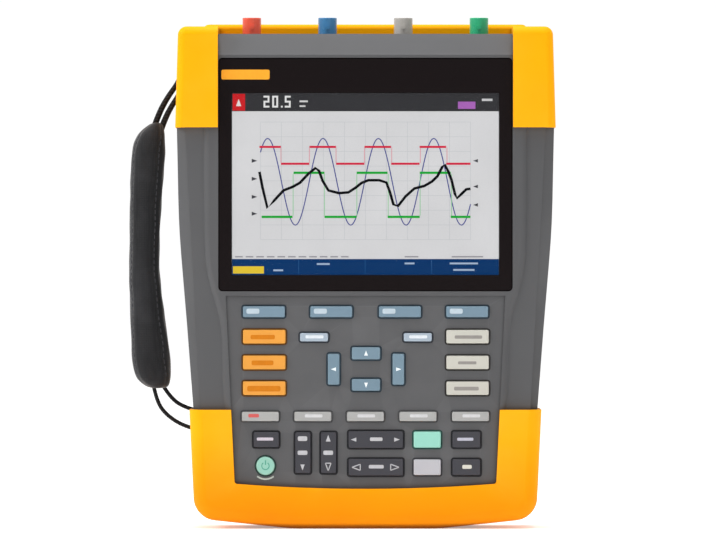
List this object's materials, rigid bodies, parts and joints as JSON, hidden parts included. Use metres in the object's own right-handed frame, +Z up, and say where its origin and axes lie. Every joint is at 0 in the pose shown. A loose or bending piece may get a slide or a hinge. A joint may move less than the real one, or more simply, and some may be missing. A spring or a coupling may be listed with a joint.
{
  "type": "handheld oscilloscope",
  "caption": "Rugged handheld oscilloscope with a colour screen over a keypad, coaxial inputs on top, rubber bumpers, a padded side strap and a fold-out rear stand.",
  "frame": {"origin": "centre of the flat face under the bottom bumper that it stands on", "axes": "+Z up along the case, +X to the right seen from the screen, the screen faces -Y"},
  "size_m": [0.2175, 0.07, 0.2615],
  "materials": {
    "shell_grey": "fine moulded texture",
    "bumper_yellow": "soft satin elastomer",
    "display_glass": "polished, black printed border",
    "lcd_face": "lit screen",
    "inner_black": "matt",
    "board_green": "solder mask",
    "mat_grey": "silicone",
    "shield_steel": "tinned sheet",
    "contact_brass": "plated",
    "input_red": "satin",
    "input_blue": "satin",
    "input_grey": "satin",
    "input_green": "satin",
    "gasket_black": "matt",
    "screw_steel": "zinc plated",
    "stand_grey": "fine moulded texture",
    "door_grey": "fine moulded texture",
    "battery_black": "matt",
    "cover_rubber": "matt",
    "strap_fabric": "woven nylon over foam",
    "strap_webbing": "woven nylon",
    "strap_cord": "braided nylon",
    "key_blue_grey": "silicone, printed legend",
    "key_orange": "silicone, printed legend",
    "key_white": "silicone, printed legend",
    "key_pale": "silicone",
    "key_channel": "silicone, printed legend",
    "key_dark": "silicone, printed legend",
    "key_mint": "silicone",
    "key_power": "silicone, power symbol",
    "key_light": "silicone"
  },
  "bodies": {
    "case": {"front_shell": "shell_grey", "rear_shell": "shell_grey", "top_bumper": "bumper_yellow", "bottom_bumper": "bumper_yellow", "display_window": "display_glass", "lcd_panel": "lcd_face", "lcd_frame": "inner_black", "main_board": "board_green", "keypad_board": "board_green", "keypad_mat": "mat_grey", "input_shield": "shield_steel", "input_contacts": "contact_brass", "input_red": "input_red", "input_blue": "input_blue", "input_grey": "input_grey", "input_green": "input_green", "shell_gasket": "gasket_black", "housing_screws": "screw_steel", "battery_door": "door_grey", "battery_pack": "battery_black", "port_sockets": "inner_black", "strap_pad": "strap_fabric", "strap_webbing": "strap_webbing", "strap_cord": "strap_cord"},
    "soft_key_1": {"soft_key_1": "key_blue_grey"},
    "soft_key_2": {"soft_key_2": "key_blue_grey"},
    "soft_key_3": {"soft_key_3": "key_blue_grey"},
    "soft_key_4": {"soft_key_4": "key_blue_grey"},
    "orange_key_1": {"orange_key_1": "key_orange"},
    "orange_key_2": {"orange_key_2": "key_orange"},
    "orange_key_3": {"orange_key_3": "key_orange"},
    "white_key_1": {"white_key_1": "key_white"},
    "white_key_2": {"white_key_2": "key_white"},
    "white_key_3": {"white_key_3": "key_white"},
    "small_key_left": {"small_key_left": "key_pale"},
    "small_key_right": {"small_key_right": "key_pale"},
    "arrow_key_up": {"arrow_key_up": "key_blue_grey"},
    "arrow_key_down": {"arrow_key_down": "key_blue_grey"},
    "arrow_key_left": {"arrow_key_left": "key_blue_grey"},
    "arrow_key_right": {"arrow_key_right": "key_blue_grey"},
    "dark_key_left": {"dark_key_left": "key_dark"},
    "mint_key": {"mint_key": "key_mint"},
    "light_key": {"light_key": "key_light"},
    "dark_key_upper": {"dark_key_upper": "key_dark"},
    "dark_key_lower": {"dark_key_lower": "key_dark"},
    "channel_key_1": {"channel_key_1": "key_channel"},
    "channel_key_2": {"channel_key_2": "key_channel"},
    "channel_key_3": {"channel_key_3": "key_channel"},
    "channel_key_4": {"channel_key_4": "key_channel"},
    "channel_key_5": {"channel_key_5": "key_channel"},
    "power_key": {"power_key": "key_power"},
    "tall_rocker_left": {"tall_rocker_left": "key_dark"},
    "tall_rocker_right": {"tall_rocker_right": "key_dark"},
    "wide_rocker_upper": {"wide_rocker_upper": "key_dark"},
    "wide_rocker_lower": {"wide_rocker_lower": "key_dark"},
    "tilt_stand": {"tilt_stand": "stand_grey"},
    "port_cover": {"port_cover": "cover_rubber"},
    "door_screw_left": {"door_screw_left": "screw_steel"},
    "door_screw_right": {"door_screw_right": "screw_steel"}
  },
  "joints": [
    {"name": "soft_key_1_press", "type": "slide", "parent": "case", "child": "soft_key_1", "axis": [0, 1, 0], "range_m": [0, 0.001], "stiffness_N_per_m": 250},
    {"name": "soft_key_2_press", "type": "slide", "parent": "case", "child": "soft_key_2", "axis": [0, 1, 0], "range_m": [0, 0.001], "stiffness_N_per_m": 250},
    {"name": "soft_key_3_press", "type": "slide", "parent": "case", "child": "soft_key_3", "axis": [0, 1, 0], "range_m": [0, 0.001], "stiffness_N_per_m": 250},
    {"name": "soft_key_4_press", "type": "slide", "parent": "case", "child": "soft_key_4", "axis": [0, 1, 0], "range_m": [0, 0.001], "stiffness_N_per_m": 250},
    {"name": "orange_key_1_press", "type": "slide", "parent": "case", "child": "orange_key_1", "axis": [0, 1, 0], "range_m": [0, 0.001], "stiffness_N_per_m": 250},
    {"name": "orange_key_2_press", "type": "slide", "parent": "case", "child": "orange_key_2", "axis": [0, 1, 0], "range_m": [0, 0.001], "stiffness_N_per_m": 250},
    {"name": "orange_key_3_press", "type": "slide", "parent": "case", "child": "orange_key_3", "axis": [0, 1, 0], "range_m": [0, 0.001], "stiffness_N_per_m": 250},
    {"name": "white_key_1_press", "type": "slide", "parent": "case", "child": "white_key_1", "axis": [0, 1, 0], "range_m": [0, 0.001], "stiffness_N_per_m": 250},
    {"name": "white_key_2_press", "type": "slide", "parent": "case", "child": "white_key_2", "axis": [0, 1, 0], "range_m": [0, 0.001], "stiffness_N_per_m": 250},
    {"name": "white_key_3_press", "type": "slide", "parent": "case", "child": "white_key_3", "axis": [0, 1, 0], "range_m": [0, 0.001], "stiffness_N_per_m": 250},
    {"name": "small_key_left_press", "type": "slide", "parent": "case", "child": "small_key_left", "axis": [0, 1, 0], "range_m": [0, 0.001], "stiffness_N_per_m": 250},
    {"name": "small_key_right_press", "type": "slide", "parent": "case", "child": "small_key_right", "axis": [0, 1, 0], "range_m": [0, 0.001], "stiffness_N_per_m": 250},
    {"name": "arrow_key_up_press", "type": "slide", "parent": "case", "child": "arrow_key_up", "axis": [0, 1, 0], "range_m": [0, 0.001], "stiffness_N_per_m": 250},
    {"name": "arrow_key_down_press", "type": "slide", "parent": "case", "child": "arrow_key_down", "axis": [0, 1, 0], "range_m": [0, 0.001], "stiffness_N_per_m": 250},
    {"name": "arrow_key_left_press", "type": "slide", "parent": "case", "child": "arrow_key_left", "axis": [0, 1, 0], "range_m": [0, 0.001], "stiffness_N_per_m": 250},
    {"name": "arrow_key_right_press", "type": "slide", "parent": "case", "child": "arrow_key_right", "axis": [0, 1, 0], "range_m": [0, 0.001], "stiffness_N_per_m": 250},
    {"name": "dark_key_left_press", "type": "slide", "parent": "case", "child": "dark_key_left", "axis": [0, 1, 0], "range_m": [0, 0.001], "stiffness_N_per_m": 250},
    {"name": "mint_key_press", "type": "slide", "parent": "case", "child": "mint_key", "axis": [0, 1, 0], "range_m": [0, 0.001], "stiffness_N_per_m": 250},
    {"name": "light_key_press", "type": "slide", "parent": "case", "child": "light_key", "axis": [0, 1, 0], "range_m": [0, 0.001], "stiffness_N_per_m": 250},
    {"name": "dark_key_upper_press", "type": "slide", "parent": "case", "child": "dark_key_upper", "axis": [0, 1, 0], "range_m": [0, 0.001], "stiffness_N_per_m": 250},
    {"name": "dark_key_lower_press", "type": "slide", "parent": "case", "child": "dark_key_lower", "axis": [0, 1, 0], "range_m": [0, 0.001], "stiffness_N_per_m": 250},
    {"name": "channel_key_1_press", "type": "slide", "parent": "case", "child": "channel_key_1", "axis": [0, 1, 0], "range_m": [0, 0.001], "stiffness_N_per_m": 250},
    {"name": "channel_key_2_press", "type": "slide", "parent": "case", "child": "channel_key_2", "axis": [0, 1, 0], "range_m": [0, 0.001], "stiffness_N_per_m": 250},
    {"name": "channel_key_3_press", "type": "slide", "parent": "case", "child": "channel_key_3", "axis": [0, 1, 0], "range_m": [0, 0.001], "stiffness_N_per_m": 250},
    {"name": "channel_key_4_press", "type": "slide", "parent": "case", "child": "channel_key_4", "axis": [0, 1, 0], "range_m": [0, 0.001], "stiffness_N_per_m": 250},
    {"name": "channel_key_5_press", "type": "slide", "parent": "case", "child": "channel_key_5", "axis": [0, 1, 0], "range_m": [0, 0.001], "stiffness_N_per_m": 250},
    {"name": "power_key_press", "type": "slide", "parent": "case", "child": "power_key", "axis": [0, 1, 0], "range_m": [0, 0.001], "stiffness_N_per_m": 250},
    {"name": "tall_rocker_left_tip", "type": "hinge", "parent": "case", "child": "tall_rocker_left", "pos_m": [-0.0319, -0.02715, 0.0388], "axis": [1, 0, 0], "range_deg": [-2.4, 2.4], "stiffness_Nm_per_rad": 0.05},
    {"name": "tall_rocker_right_tip", "type": "hinge", "parent": "case", "child": "tall_rocker_right", "pos_m": [-0.0188, -0.02715, 0.0388], "axis": [1, 0, 0], "range_deg": [-2.4, 2.4], "stiffness_Nm_per_rad": 0.05},
    {"name": "wide_rocker_upper_tip", "type": "hinge", "parent": "case", "child": "wide_rocker_upper", "pos_m": [0.0053, -0.02715, 0.0455], "axis": [0, 0, 1], "range_deg": [-1.9, 1.9], "stiffness_Nm_per_rad": 0.05},
    {"name": "wide_rocker_lower_tip", "type": "hinge", "parent": "case", "child": "wide_rocker_lower", "pos_m": [0.0053, -0.02715, 0.0314], "axis": [0, 0, 1], "range_deg": [-1.9, 1.9], "stiffness_Nm_per_rad": 0.05},
    {"name": "stand_swing", "type": "hinge", "parent": "case", "child": "tilt_stand", "pos_m": [0, 0.0298, 0.194], "axis": [1, 0, 0], "range_deg": [0, 38]},
    {"name": "port_cover_swing", "type": "hinge", "parent": "case", "child": "port_cover", "pos_m": [0.0929, 0.014, 0.1886], "axis": [0, -1, 0], "range_deg": [0, 100]},
    {"name": "door_screw_left_turn", "type": "hinge", "parent": "case", "child": "door_screw_left", "pos_m": [0.048, 0.032, 0.0685], "axis": [0, 1, 0], "range_deg": [0, 90]},
    {"name": "door_screw_right_turn", "type": "hinge", "parent": "case", "child": "door_screw_right", "pos_m": [-0.048, 0.032, 0.0685], "axis": [0, 1, 0], "range_deg": [0, 90]}
  ]
}
